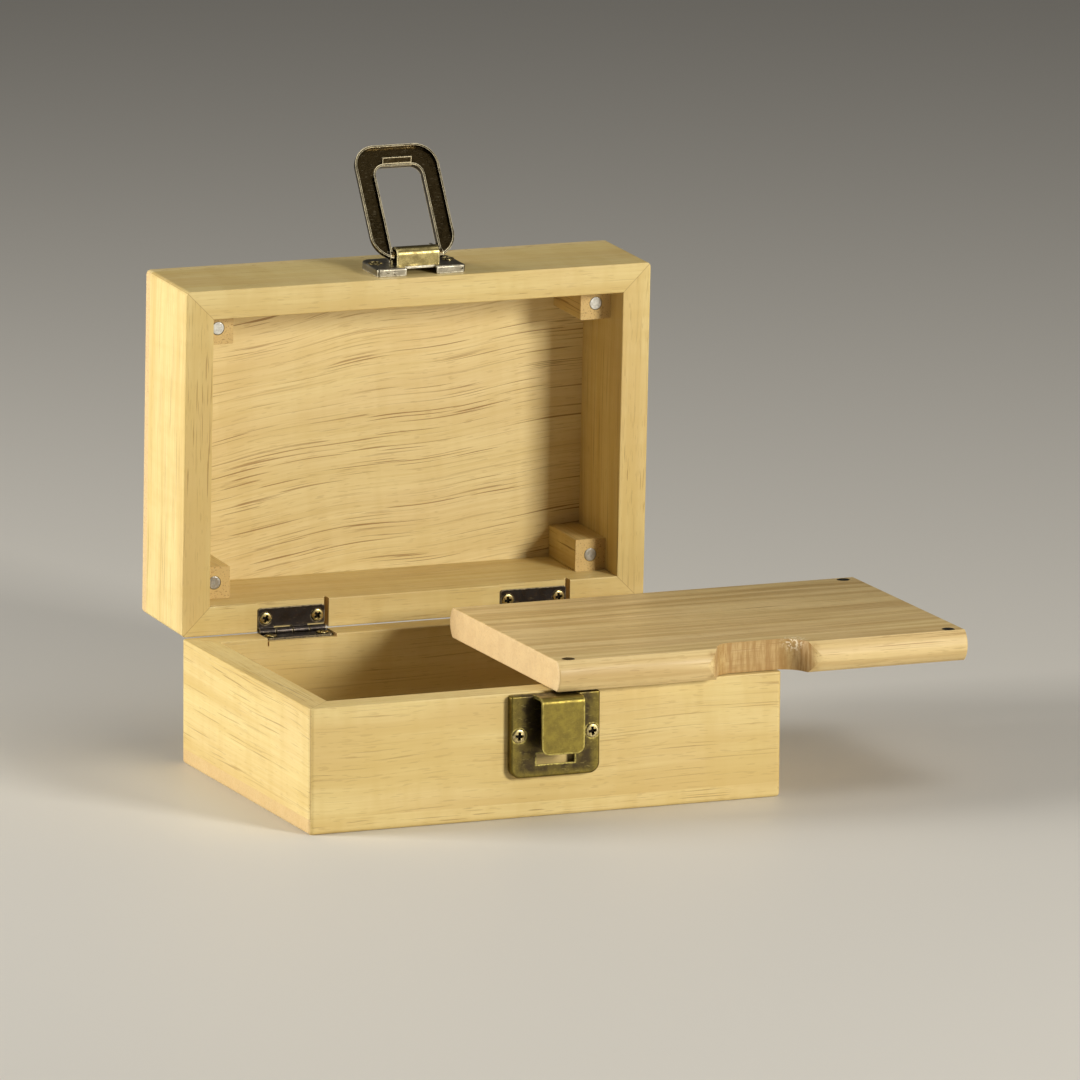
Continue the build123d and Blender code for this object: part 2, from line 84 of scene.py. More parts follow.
class Grain(Enum):
    """The direction in which a board's fibres run, on the closed box."""

    WIDTH = "X"
    DEPTH = "Y"
    UPRIGHT = "Z"

    def to_fibres(self) -> Matrix:
        """Turns the pattern along the fibres.

        Returns:
            The turn that brings the fibres onto the pattern's first axis.
        """
        if self is Grain.DEPTH:
            return Matrix.Rotation(math.radians(-90.0), 4, "Z")
        if self is Grain.UPRIGHT:
            return Matrix.Rotation(math.radians(90.0), 4, "Y")
        return Matrix.Identity(4)
@dataclass(frozen=True)
class Layer:
    """One layer of noise: how it is stretched, and which part of it shows."""

    scale: Triple  # cycles per millimetre along each axis
    shown: Span  # the noise at which the layer starts, and at which it is full
    detail: float = 2.0  # how many finer octaves are added
    roughness: float = 0.5  # how strong those octaves are
    result: Span = (0.0, 1.0)  # what the two ends of the shown part give


# wood, whose first axis runs along the fibres
CLOUDS = Layer((0.02, 0.06, 0.06), (0.35, 0.7))
STRANDS = Layer((0.02, 1.3, 1.3), (0.3, 0.75), 3.0, 0.6)
GROWTH = Layer((0.012, 0.25, 0.25), (0.40, 0.60), 1.0, result=(0.3, 1.0))
FLECKS = Layer((0.22, 2.3, 2.3), (0.68, 0.76), 0.0)
FIGURE = Layer((0.14, 0.03, 0.03), (0.42, 0.66), 2.0, 0.6)
END_PORES = Layer((0.4, 2.1, 2.1), (0.60, 0.68), 1.0)
CHATTER = Layer((0.8, 0.8, 0.12), (0.32, 0.68), 3.0, 0.6, (0.45, 0.95))
TORN_FIBRES = Layer((1.3, 1.3, 1.3), (0.53, 0.60), 2.0, 0.6)
# metal
SCRATCHES = Layer((0.5, 9.0, 2.0), (0.62, 0.72))
PATCHY_RUB = Layer((1.1, 1.1, 1.1), (0.3, 0.7), 3.0, 0.6, (0.35, 1.2))
# an even rub along the edges, which on the ring also paints a continuous rim highlight
EVEN_RUB_AND_RIM_HIGHLIGHT = Layer((0.12, 0.12, 0.12), (0.3, 0.7), 3.0, 0.6, (0.75, 1.2))
TARNISH = Layer((1.6, 1.6, 1.6), (0.38, 0.66), 4.0, 0.6)
SMEARS = Layer((0.9, 0.9, 0.9), (0.42, 0.68), 4.0, 0.65)
HAIRS = Layer((0.8, 11.0, 5.0), (0.60, 0.70), 1.0)

class Graph:
    """A material's node tree with short calls for the nodes that the finishes share."""

    def __init__(self, name: str) -> None:
        """Starts a material with only its output and one Principled shader.

        Args:
            name: The material's name.
        """
        self.material = bpy.data.materials.new(name)
        self.material.use_nodes = True
        self.tree = self.material.node_tree
        self.tree.nodes.clear()
        self.shader = self.tree.nodes.new("ShaderNodeBsdfPrincipled")
        output = self.tree.nodes.new("ShaderNodeOutputMaterial")
        self.link(self.shader.outputs["BSDF"], output.inputs["Surface"])

    def link(self, source: Socket, target: Socket) -> None:
        """Joins an output to an input.

        Args:
            source: The output socket.
            target: The input socket.
        """
        self.tree.links.new(source, target)

    def put(self, value: object, target: Socket) -> None:
        """Links a socket, or sets a plain value.

        Args:
            value: A socket, a number or a colour.
            target: The input that takes it.
        """
        if isinstance(value, Socket):
            self.link(value, target)
        elif isinstance(value, tuple) and target.type == "RGBA":
            target.default_value = (*value, 1.0)
        else:
            target.default_value = value

    def mapped(self, turn: Matrix) -> Socket:
        """Places the pattern's axes on the piece.

        Args:
            turn: From the row's millimetres to the pattern's millimetres.

        Returns:
            The pattern's coordinates, in millimetres.
        """
        place = self.tree.nodes.new("ShaderNodeTexCoord")
        mapping = self.tree.nodes.new("ShaderNodeMapping")
        mapping.inputs["Location"].default_value = turn.to_translation()
        mapping.inputs["Rotation"].default_value = turn.to_euler()
        mapping.inputs["Scale"].default_value = (1 / MM,) * 3
        self.link(place.outputs["Object"], mapping.inputs["Vector"])
        return mapping.outputs["Vector"]

    def facing(self) -> Socket:
        """Returns the way that the surface faces, in the row's axes."""
        return self.tree.nodes.new("ShaderNodeTexCoord").outputs["Normal"]

    def axes(self, vector: Socket) -> dict[str, Socket]:
        """Splits a vector.

        Args:
            vector: The vector.

        Returns:
            Its parts, by the names X, Y and Z.
        """
        node = self.tree.nodes.new("ShaderNodeSeparateXYZ")
        self.link(vector, node.inputs[0])
        return {part.name: part for part in node.outputs}

    def vector_math(self, operation: str, first: object, second: object, result: str = "Vector") -> Socket:
        """Works on two vectors.

        Args:
            operation: What is done with them.
            first: A socket or three numbers.
            second: A socket or three numbers.
            result: The name of the output that is wanted.

        Returns:
            That output.
        """
        node = self.tree.nodes.new("ShaderNodeVectorMath")
        node.operation = operation
        self.put(first, node.inputs[0])
        self.put(second, node.inputs[1])
        return node.outputs[result]

    def noise(self, vector: Socket, scale: Triple, detail: float = 2.0,
              roughness: float = 0.5, colour: bool = False) -> Socket:
        """Makes noise stretched along the axes.

        Args:
            vector: The coordinates in millimetres.
            scale: Cycles per millimetre along each axis.
            detail: How many finer octaves are added.
            roughness: How strong those octaves are.
            colour: True for three independent values.

        Returns:
            The value, or the colour.
        """
        node = self.tree.nodes.new("ShaderNodeTexNoise")
        node.inputs["Scale"].default_value = 1.0
        node.inputs["Detail"].default_value = detail
        node.inputs["Roughness"].default_value = roughness
        self.link(self.vector_math("MULTIPLY", vector, scale), node.inputs["Vector"])
        return node.outputs["Color" if colour else "Fac"]

    def remap(self, value: Socket, low: float, high: float,
              out_low: float = 0.0, out_high: float = 1.0) -> Socket:
        """Stretches a range of values smoothly over another, clamped at its ends.

        Args:
            value: The value.
            low: Where the new range starts.
            high: Where it ends.
            out_low: The result at low.
            out_high: The result at high.

        Returns:
            The stretched value.
        """
        node = self.tree.nodes.new("ShaderNodeMapRange")
        node.interpolation_type = "SMOOTHSTEP"
        self.link(value, node.inputs["Value"])
        ends = {"From Min": low, "From Max": high, "To Min": out_low, "To Max": out_high}
        for name, number in ends.items():
            node.inputs[name].default_value = number
        return node.outputs["Result"]
    def layer(self, vector: Socket, layer: Layer) -> Socket:
        """Draws one layer of noise.

        Args:
            vector: The coordinates in millimetres.
            layer: The layer.

        Returns:
            How strong it is.
        """
        noise = self.noise(vector, layer.scale, layer.detail, layer.roughness)
        return self.remap(noise, *layer.shown, *layer.result)

    def math(self, operation: str, first: object, second: object = 0.0) -> Socket:
        """Works on two values.

        Args:
            operation: What is done with them.
            first: A socket or a number.
            second: A socket or a number.

        Returns:
            The result.
        """
        node = self.tree.nodes.new("ShaderNodeMath")
        node.operation = operation
        self.put(first, node.inputs[0])
        self.put(second, node.inputs[1])
        return node.outputs["Value"]

    def mix(self, share: object, first: object, second: object) -> Socket:
        """Mixes two colours.

        Args:
            share: The second colour's share, a socket or a number.
            first: A socket or a colour.
            second: A socket or a colour.

        Returns:
            The mixed colour.
        """
        node = self.tree.nodes.new("ShaderNodeMix")
        node.data_type = "RGBA"
        self.put(share, node.inputs["Factor"])
        self.put(first, node.inputs[COLOUR_A])
        self.put(second, node.inputs[COLOUR_B])
        return node.outputs[COLOUR_MIXED]

    def bump(self, height: Socket, distance: float, strength: float) -> None:
        """Roughens the surface.

        Args:
            height: The relief, from 0 to 1.
            distance: Its depth in metres.
            strength: How much of it shows.
        """
        node = self.tree.nodes.new("ShaderNodeBump")
        node.inputs["Strength"].default_value = strength
        node.inputs["Distance"].default_value = distance
        self.link(height, node.inputs["Height"])
        self.link(node.outputs["Normal"], self.shader.inputs["Normal"])

    def attribute(self, name: str) -> Socket:
        """Reads a value that is stored on the mesh.

        Args:
            name: The attribute's name.

        Returns:
            The value.
        """
        node = self.tree.nodes.new("ShaderNodeAttribute")
        node.attribute_name = name
        return node.outputs["Fac"]

@dataclass(frozen=True)
class NotchMarks:
    """Marks in the loose board's finger notch, in millimetres from the middle of its mouth."""

    mouth: Triple = (71.2, -63.6, 50.6)  # on the board's top, in the row's axes
    # the wall's colour: its rough cut grain, darkened further as painted shade
    wall: Colour = (0.36, 0.205, 0.065)
    upright: Span = (0.5, 0.8)  # the wall fades out on faces that look up or down
    beside: Span = (17.5, 20.0)  # it fades out to the sides
    start: Span = (0.2, 1.4)  # it begins behind the board's front edge
    end: Span = (11.0, 12.5)  # it fades out behind the notch
    torn: Colour = (0.92, 0.80, 0.58)
    torn_middle: Triple = (13.5, 8.0, 0.0)
    torn_reach: Span = (1.5, 5.5)

    def draw(self, graph: Graph, colour: Socket) -> Socket:
        """Darkens the upright wall, for its rough cut grain and as painted shade, and frays the notch's
        right shoulder.

        Args:
            graph: The material being built.
            colour: The colour so far.

        Returns:
            The colour with the notch's marks.
        """
        place = graph.mapped(Matrix.Translation(-Vector(self.mouth)))
        at = graph.axes(place)
        steep = graph.remap(graph.math("ABSOLUTE", graph.axes(graph.facing())["Z"]), *self.upright, 1.0, 0.0)
        beside = graph.remap(graph.math("ABSOLUTE", at["X"]), *self.beside, 1.0, 0.0)
        behind = graph.remap(at["Y"], *self.end, 1.0, 0.0)
        inside = graph.math("MULTIPLY", graph.remap(at["Y"], *self.start), behind)
        wall = graph.math("MULTIPLY", graph.math("MULTIPLY", steep, beside), inside)
        # darker wall: rough cut grain, and painted shade
        colour = graph.mix(graph.math("MULTIPLY", wall, graph.layer(place, CHATTER)), colour, self.wall)
        distance = graph.vector_math("DISTANCE", place, self.torn_middle, "Value")
        near = graph.remap(distance, *self.torn_reach, 1.0, 0.0)
        return graph.mix(graph.math("MULTIPLY", graph.layer(place, TORN_FIBRES), near), colour, self.torn)


@dataclass(frozen=True)
class Wood:
    """Pale close-grained hardwood, sanded and lightly oiled. Lengths are in millimetres."""

    light: Colour = (0.735, 0.59, 0.265)
    warm: Colour = (0.60, 0.43, 0.15)
    pore: Colour = (0.27, 0.14, 0.035)
    end: Colour = (0.62, 0.42, 0.21)
    band_width: float = 7.0
    band_share: float = 0.75
    strand_share: float = 0.34
    cloud_share: float = 0.18
    line_length: float = 34.0
    line_spacing: float = 0.5
    line_share: float = 0.55
    line_start: float = 0.635  # a lower start gives more and thicker lines
    line_edge: float = 0.06
    fleck_share: float = 0.18
    figure_share: float = 0.3
    wander: float = 2.6
    wander_length: float = 70.0
    wander_across: float = 0.011  # cycles per millimetre
    wander_inward: float = 0.06  # the share of the wander that goes through the board
    slope: float = 0.0  # degrees between the fibres and the board's edge
    roughness: float = 0.44
    specular: float = 0.3
    pore_depth: float = 0.07
    end_tint: float = 0.62
    dot_share: float = 0.25  # how dark the pores are on end grain
    mitred: bool = False
    notched: bool = False
    lies_flat: bool = False

    def material(self, name: str, home: Home, grain: Grain, seed: int) -> bpy.types.Material:
        """Builds the finish for one board.

        Args:
            name: The material's name.
            home: The sub-assembly that the board belongs to.
            grain: The way its fibres run.
            seed: Picks the part of the tree it was cut from.

        Returns:
            The material.
        """
        graph = Graph(name)
        shift = Matrix.Translation([step * seed for step in TREE_STEP])
        tilt = Matrix.Rotation(math.radians(self.slope), 4, "Z")
        turn = shift @ tilt @ grain.to_fibres() @ home.to_piece()
        place = graph.mapped(turn)
        fibres = self.fibres(graph, place)

        across, thin = 1.0 / self.band_width, 1.0 / self.line_spacing
        line_shown = (self.line_start, self.line_start + self.line_edge)
        bands = graph.layer(fibres, Layer((0.007, across, across), (0.36, 0.68), 3.0, 0.55))
        lines = graph.layer(fibres, Layer((1.0 / self.line_length, thin, thin), line_shown, 1.0, 0.4))
        strands = graph.layer(fibres, STRANDS)
        pores = graph.math("MULTIPLY", lines, graph.layer(fibres, GROWTH))
        cut = self.end_share(graph, turn)
        dots = graph.math("MULTIPLY", graph.layer(place, END_PORES), cut)

        colour = self.light
        for pattern, share, tint in (
                (bands, self.band_share, self.warm),
                (strands, self.strand_share, self.warm),
                (graph.layer(place, CLOUDS), self.cloud_share, self.end),
                (graph.layer(place, FIGURE), self.figure_share, self.warm),
                (pores, self.line_share, self.pore),
                (graph.layer(fibres, FLECKS), self.fleck_share, self.pore),
                (cut, self.end_tint, self.end),
                (dots, self.dot_share, self.pore)):
            colour = graph.mix(graph.math("MULTIPLY", pattern, share), colour, tint)
        if self.notched:
            colour = NotchMarks().draw(graph, colour)
        if self.mitred:
            colour = graph.mix(self.glue_line(graph, home), colour, self.pore)
        graph.put(colour, graph.shader.inputs["Base Color"])
        graph.shader.inputs["Specular IOR Level"].default_value = self.specular
        rough = graph.remap(strands, 0.0, 1.0, self.roughness - 0.04, self.roughness + 0.1)
        graph.put(rough, graph.shader.inputs["Roughness"])
        relief = graph.math("ADD", graph.math("SUBTRACT", 1.0, pores), graph.math("MULTIPLY", strands, 0.3))
        graph.bump(relief, self.pore_depth * MM, 0.45)
        return graph.material

    def fibres(self, graph: Graph, place: Socket) -> Socket:
        """Lets the fibres wander over the board's face and hardly through its thickness.

        Args:
            graph: The material being built.
            place: The pattern's coordinates, along straight fibres.

        Returns:
            The coordinates along the wandering fibres.
        """
        scale = (1.0 / self.wander_length, self.wander_across, self.wander_across)
        drift = graph.vector_math("SUBTRACT", graph.noise(place, scale, 1.0, colour=True), (0.5, 0.5, 0.5))
        depthwise, upright = (1.0, self.wander_inward) if self.lies_flat else (self.wander_inward, 1.0)
        reach = 2 * self.wander
        sway = graph.vector_math("MULTIPLY", drift, (0.0, reach * depthwise, reach * upright))
        return graph.vector_math("ADD", place, sway)

    def end_share(self, graph: Graph, turn: Matrix) -> Socket:
        """Finds the faces that cut across the fibres.

        Args:
            graph: The material being built.
            turn: From the row's axes to the pattern's.

        Returns:
            0 along the fibres and 1 on end grain.
        """
        lengthwise = turn.to_3x3().inverted() @ Vector((1.0, 0.0, 0.0))
        across = graph.vector_math("DOT_PRODUCT", graph.facing(), lengthwise, "Value")
        return graph.remap(graph.math("ABSOLUTE", across), 0.55, 0.9)

    def glue_line(self, graph: Graph, home: Home) -> Socket:
        """Draws the thin brown line where two mitred boards meet.

        Args:
            graph: The material being built.
            home: The sub-assembly that the board belongs to.

        Returns:
            The line's strength.
        """
        centre = Vector((0.0, 0.0 if home is Home.BOX else HALF_DEPTH, 0.0))
        at = graph.axes(graph.mapped(Matrix.Translation(centre) @ home.to_piece()))
        from_side = graph.math("SUBTRACT", HALF_WIDTH, graph.math("ABSOLUTE", at["X"]))
        from_front = graph.math("SUBTRACT", HALF_DEPTH, graph.math("ABSOLUTE", at["Y"]))
        gap = graph.math("ABSOLUTE", graph.math("SUBTRACT", from_side, from_front))
        inside = graph.remap(graph.math("MINIMUM", from_side, from_front), 0.02, 0.1)
        return graph.math("MULTIPLY", graph.remap(gap, *GLUE_EDGE, 0.5, 0.0), inside)


@dataclass(frozen=True)
class AgedMetal:
    """Plated metal with a mottled patina and bright edges where the plating is rubbed; on the ring those
    bright edges are partly painted highlights.
    """

    base: Colour
    patina: Colour
    worn: Colour
    patina_share: float = 0.6
    wear_share: float = 0.8
    roughness: float = 0.34
    speckle: float = 1.6  # patches per millimetre
    rub: Layer = PATCHY_RUB

    def material(self, name: str) -> bpy.types.Material:
        """Builds the finish.

        Args:
            name: The material's name.

        Returns:
            The material.
        """
        graph = Graph(name)
        place = graph.mapped(Matrix.Identity(4))
        graph.shader.inputs["Metallic"].default_value = 1.0
        clouds = graph.noise(place, (0.35, 0.35, 0.35), 4.0, 0.6)
        grains = graph.noise(place, (self.speckle * 2,) * 3, 3.0, 0.65)
        blotch = graph.math("ADD", graph.math("MULTIPLY", clouds, 0.6), graph.math("MULTIPLY", grains, 0.4))
        dull = graph.remap(blotch, 0.40, 0.60)
        wear = graph.math("MULTIPLY", graph.attribute("edge_wear"), graph.layer(place, self.rub))
        wear = graph.remap(wear, 0.16, 0.72, 0.0, self.wear_share)
        colour = graph.mix(graph.math("MULTIPLY", dull, self.patina_share), self.base, self.patina)
        # darker on the catch plate's flat, away from its outline and its proud tongue
        flat_darkening_share = graph.math("MULTIPLY", graph.attribute("flat_darkening"), graph.remap(clouds, 0.35, 0.65, 0.7, 1.0))
        colour = graph.mix(flat_darkening_share, colour, self.patina)
        colour = graph.mix(graph.math("MULTIPLY", graph.layer(place, SCRATCHES), 0.2), colour, self.worn)
        # bright rubbed edges; on the ring these are partly painted rim highlights
        colour = graph.mix(wear, colour, self.worn)
        graph.put(colour, graph.shader.inputs["Base Color"])
        rough = graph.remap(dull, 0.0, 1.0, self.roughness, self.roughness + 0.16)
        rough = graph.math("ADD", rough, graph.math("MULTIPLY", wear, 0.1))
        graph.put(rough, graph.shader.inputs["Roughness"])
        graph.bump(graph.noise(place, (2.4, 2.4, 2.4), 3.0, 0.6), 0.00003, 0.25)
        return graph.material


@dataclass(frozen=True)
class ScrewBrass:
    """Bright brass plate with dark oxide left in the cross of each screw."""

    bright: Colour = (0.62, 0.52, 0.27)
    dull: Colour = (0.30, 0.235, 0.09)
    oxide: Colour = (0.016, 0.013, 0.009)

    def material(self, name: str) -> bpy.types.Material:
        """Builds the finish.

        Args:
            name: The material's name.

        Returns:
            The material.
        """
        graph = Graph(name)
        place = graph.mapped(Matrix.Identity(4))
        graph.shader.inputs["Metallic"].default_value = 1.0
        tarnish = graph.layer(place, TARNISH)
        colour = graph.mix(tarnish, self.bright, self.dull)
        recess = graph.remap(graph.attribute("recess"), 0.12, 0.75)
        colour = graph.mix(recess, colour, self.oxide)
        graph.put(colour, graph.shader.inputs["Base Color"])
        rough = graph.remap(tarnish, 0.0, 1.0, 0.24, 0.42)
        rough = graph.math("ADD", rough, graph.math("MULTIPLY", recess, 0.3))
        graph.put(rough, graph.shader.inputs["Roughness"])
        graph.bump(graph.noise(place, (3.0, 3.0, 3.0), 2.0), 0.00002, 0.3)
        return graph.material


@dataclass(frozen=True)
class MagnetNickel:
    """Nickel plate, bright on its rim and finely scratched on its face."""

    plate: Colour = (0.52, 0.51, 0.47)
    smear: Colour = (0.30, 0.285, 0.25)
    roughness: float = 0.30

    def material(self, name: str) -> bpy.types.Material:
        """Builds the finish.

        Args:
            name: The material's name.

        Returns:
            The material.
        """
        graph = Graph(name)
        place = graph.mapped(Matrix.Identity(4))
        graph.shader.inputs["Metallic"].default_value = 1.0
        smears, hairs = graph.layer(place, SMEARS), graph.layer(place, HAIRS)
        dull = graph.math("MAXIMUM", graph.math("MULTIPLY", smears, 0.7), graph.math("MULTIPLY", hairs, 0.6))
        graph.put(graph.mix(dull, self.plate, self.smear), graph.shader.inputs["Base Color"])
        rough = graph.remap(dull, 0.0, 1.0, self.roughness, self.roughness + 0.2)
        graph.put(rough, graph.shader.inputs["Roughness"])
        graph.bump(hairs, 0.00001, 0.3)
        return graph.material

def placed(name: str, data: bpy.types.ID) -> bpy.types.Object:
    """Puts a new object in the scene.

    Args:
        name: The object's name.
        data: Its mesh, light or camera.

    Returns:
        The object.
    """
    thing = bpy.data.objects.new(name, data)
    bpy.context.scene.collection.objects.link(thing)
    return thing


def plain_mesh(thing: bpy.types.Object) -> bpy.types.Mesh:
    """Takes the shape that an object's modifiers give it.

    Args:
        thing: The object.

    Returns:
        The shape as a mesh of its own.
    """
    bpy.context.view_layer.update()
    return bpy.data.meshes.new_from_object(thing.evaluated_get(bpy.context.evaluated_depsgraph_get()))
def dress(node: str, material: bpy.types.Material) -> None:
    """Gives a CAD node its finish.

    Args:
        node: The node's name.
        material: The finish.
    """
    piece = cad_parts[node]
    if not piece.material_slots:
        piece.data.materials.append(material)
    for slot in piece.material_slots:
        slot.material = material
    LOG.info("dressed %s with %s", node, material.name)


def merged_copy(node: str) -> bmesh.types.BMesh:
    """Copies a CAD node's loose triangles into one joined mesh with flat faces made whole.

    Args:
        node: The node's name.

    Returns:
        The joined mesh.
    """
    mesh = bmesh.new()
    mesh.from_mesh(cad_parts[node].data)
    bmesh.ops.remove_doubles(mesh, verts=mesh.verts, dist=MERGE_DISTANCE)
    bmesh.ops.dissolve_limit(mesh, angle_limit=FLAT_TURN, verts=mesh.verts, edges=mesh.edges)
    mesh.normal_update()
    return mesh


def new_piece(name: str, mesh: bmesh.types.BMesh, material: bpy.types.Material,
              body: str, nodes: tuple[str, ...]) -> bpy.types.Object:
    """Turns a finished mesh into a piece that rides on a body and stands for CAD nodes.

    Args:
        name: The piece's name.
        mesh: Its shape, in metres, in place. It is freed.
        material: Its finish.
        body: The body that carries it.
        nodes: The nodes it replaces.

    Returns:
        The piece.
    """
    data = bpy.data.meshes.new(name)
    mesh.to_mesh(data)
    mesh.free()
    data.materials.append(material)
    piece = placed(name, data)
    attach(piece, body)
    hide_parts(*nodes)
    LOG.info("made %s with %d faces", name, len(data.polygons))
    return piece


def store_wear(mesh: bmesh.types.BMesh, edge_points: list[Vector], reach: float) -> None:
    """Stores how near each vertex lies to a rubbed edge.

    Args:
        mesh: The mesh that takes the attribute.
        edge_points: Points along the edges, in metres.
        reach: How far the wear spreads, in metres.
    """
    layer = mesh.verts.layers.float.new("edge_wear")
    if not edge_points:
        return
    tree = kdtree.KDTree(len(edge_points))
    for index, point in enumerate(edge_points):
        tree.insert(point, index)
    tree.balance()
    for vertex in mesh.verts:
        distance = tree.find(vertex.co)[2]
        vertex[layer] = math.exp(-((distance / reach) ** 2))


def store_flat_darkening(mesh: bmesh.types.BMesh, flat: float, proud: float, rubbed: float) -> None:
    """Stores where a plate on a front wall is darkened: on its flat, away from its outline.

    Args:
        mesh: The mesh that takes the attribute.
        flat: The plate's front face, in millimetres ahead of the middle.
        proud: The parts this far ahead are not darkened, in millimetres.
        rubbed: The width of the undarkened margin at the sides, in millimetres. It is narrower below.
    """
    layer = mesh.verts.layers.float.new("flat_darkening")
    left, right = min(v.co.x for v in mesh.verts), max(v.co.x for v in mesh.verts)
    low = min(v.co.z for v in mesh.verts)
    for vertex in mesh.verts:
        margin = min(vertex.co.x - left, right - vertex.co.x, 1.6 * (vertex.co.z - low)) / (rubbed * MM)
        ahead = (-vertex.co.y / MM - flat) / (proud - flat)
        vertex[layer] = min(1.0, max(0.0, margin)) * min(1.0, max(0.0, 1.0 - ahead))


@dataclass(frozen=True)
class Edges:
    """How finely a metal part is made, in millimetres."""

    ease: float  # the width of its eased edges
    spacing: float  # the longest edge of its mesh
    reach: float  # how far the wear spreads from its edges


def refined_metal(node: str, edges: Edges) -> bmesh.types.BMesh:
    """Eases a metal part's edges and stores their wear.

    Args:
        node: The CAD node that gives the shape.
        edges: How finely it is made.

    Returns:
        The finished mesh.
    """
    mesh = merged_copy(node)
    turned = [e for e in mesh.edges if len(e.link_faces) == 2 and e.calc_face_angle(0.0) > EASED_TURN]
    points: list[Vector] = []
    for edge in turned:
        if not edge.is_convex:
            continue
        first, second = (v.co.copy() for v in edge.verts)
        steps = max(1, math.ceil((second - first).length / WEAR_STEP))
        points += [first.lerp(second, i / steps) for i in range(steps + 1)]
    bmesh.ops.bevel(mesh, geom=turned, offset=edges.ease * MM, offset_type="OFFSET", segments=2, profile=0.5,
                    affect="EDGES", clamp_overlap=True)
    bmesh.ops.triangulate(mesh, faces=mesh.faces)
    for _ in range(6):
        long_edges = [e for e in mesh.edges if e.calc_length() > edges.spacing * MM]
        if not long_edges:
            break
        bmesh.ops.subdivide_edges(mesh, edges=long_edges, cuts=1)
        bmesh.ops.triangulate(mesh, faces=mesh.faces)
    mesh.normal_update()
    for face in mesh.faces:
        face.smooth = True
    for edge in mesh.edges:
        edge.smooth = edge.calc_face_angle(0.0) < SHARP_TURN
    store_wear(mesh, points, edges.reach * MM)
    return mesh


@dataclass
class Carpentry:
    """The mitred walls, panels, posts and board, cut from pale wood."""

    walls: Wood = Wood(mitred=True)
    long_walls: Wood = Wood(mitred=True, line_share=0.38, band_width=9.0, line_start=0.645)
    lid_inner_panel: Wood = Wood(
        light=(0.80, 0.655, 0.335), pore=(0.31, 0.17, 0.05), band_share=0.3, line_share=0.85,
        line_start=0.605, fleck_share=0.2, figure_share=0.15, wander=7.0, wander_length=75.0, slope=6.0,
        lies_flat=True)
    bottom: Wood = Wood(line_share=0.5, lies_flat=True)
    posts: Wood = Wood(
        warm=(0.55, 0.38, 0.14), end=(0.60, 0.42, 0.17), line_share=0.8, end_tint=0.8, dot_share=0.6)
    loose_board: Wood = Wood(
        light=(0.75, 0.58, 0.28), warm=(0.48, 0.32, 0.12), end=(0.80, 0.60, 0.35), band_width=4.6,
        band_share=0.8, line_start=0.62, fleck_share=0.25, figure_share=0.1, dot_share=0.12,
        notched=True, lies_flat=True)

    def dress_all(self) -> None:
        """Gives every wooden node the finish for its own board, each from another part of the tree."""
        seed = 1
        for home in Home:
            for side in ("front", "back", "left", "right"):
                finish = self.long_walls if side in ("front", "back") else self.walls
                grain = Grain.WIDTH if side in ("front", "back") else Grain.DEPTH
                node = f"{home.value}_{side}_wall"
                dress(node, finish.material(f"wood_{node}", home, grain, seed))
                seed += 1
        dress("bottom_board", self.bottom.material("wood_bottom_board", Home.BOX, Grain.WIDTH, 11))
        dress("lid_panel", self.lid_inner_panel.material("wood_lid_panel", Home.LID, Grain.WIDTH, 12))
        dress("compartment_board", self.loose_board.material("wood_loose_board", Home.BOX, Grain.WIDTH, 13))
        for index, corner in enumerate(CORNERS):
            node = f"lid_post_{corner}"
            dress(node, self.posts.material(f"wood_{node}", Home.LID, Grain.UPRIGHT, 20 + index))


